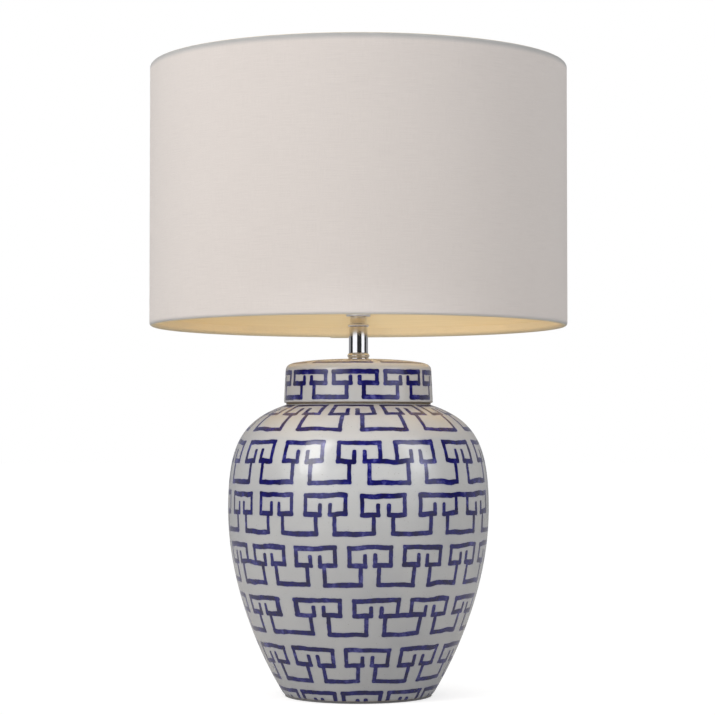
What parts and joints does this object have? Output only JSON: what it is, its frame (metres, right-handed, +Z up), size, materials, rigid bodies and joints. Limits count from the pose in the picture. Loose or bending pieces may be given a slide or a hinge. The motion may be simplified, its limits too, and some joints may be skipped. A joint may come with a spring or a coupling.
{
  "type": "table lamp",
  "caption": "Table lamp: a round glazed jar body with a flat lid, a short metal neck, a screw lamp holder with a bulb, and a drum shade on a ring fitting that lifts off.",
  "frame": {"origin": "middle of the foot's felt ring, on the surface the lamp stands on", "axes": "+Z up along the lamp's axis, -Y to the front, +X to the right seen from the front, the cord's exit at +Y"},
  "size_m": [0.4, 0.4, 0.601],
  "materials": {
    "felt": "black pressed felt",
    "glaze": "glossy blue-white glaze over hand-painted cobalt fret bands",
    "black_rubber": "matt black",
    "zinc_steel": "zinc plated",
    "cork": "cork and rubber sealing ring",
    "neck_chrome": "polished chrome plate",
    "holder_plastic": "moulded white",
    "porcelain": "white porcelain",
    "contact_brass": "plain brass",
    "white_wire": "white powder coat",
    "liner_film": "matt cream shade film",
    "linen": "off-white linen weave",
    "cap_nickel": "nickel plated",
    "bulb_glass": "frosted opal"
  },
  "bodies": {
    "lamp_base": {"foot_felt": "felt", "jar": "glaze", "cord_bushing": "black_rubber", "base_rubber_washer": "black_rubber", "base_plate": "zinc_steel", "base_lock_washer": "zinc_steel", "base_nut": "zinc_steel", "threaded_rod": "zinc_steel", "lid_seal": "cork", "lid": "glaze", "neck_base_ring": "neck_chrome", "neck_tube": "neck_chrome", "neck_top_ring": "neck_chrome", "neck_spacer": "neck_chrome", "holder_cap": "neck_chrome", "holder_shell": "holder_plastic", "holder_core": "porcelain", "screw_shell": "contact_brass", "centre_contact": "contact_brass", "terminal_screw_live": "contact_brass", "terminal_screw_neutral": "contact_brass", "shade_ring_lower": "holder_plastic"},
    "shade_collar": {"shade_ring_upper": "holder_plastic"},
    "shade": {"fitter_ring": "white_wire", "spider_arm_back": "white_wire", "spider_arm_left": "white_wire", "spider_arm_right": "white_wire", "lower_rim_wire": "white_wire", "upper_rim_wire": "white_wire", "shade_liner": "liner_film", "shade_cover": "linen"},
    "bulb": {"bulb_contact": "contact_brass", "bulb_insulator": "black_rubber", "bulb_cap": "cap_nickel", "bulb_glass": "bulb_glass"}
  },
  "joints": [
    {"name": "shade_lift", "type": "slide", "parent": "lamp_base", "child": "shade_collar", "axis": [0, 0, 1], "range_m": [0, 0.16]},
    {"name": "shade_turn", "type": "hinge", "parent": "shade_collar", "child": "shade", "pos_m": [0, 0, 0.3903], "axis": [0, 0, 1], "continuous": true},
    {"name": "bulb_lift", "type": "slide", "parent": "lamp_base", "child": "bulb", "axis": [0, 0, 1], "range_m": [0, 0.22]}
  ]
}
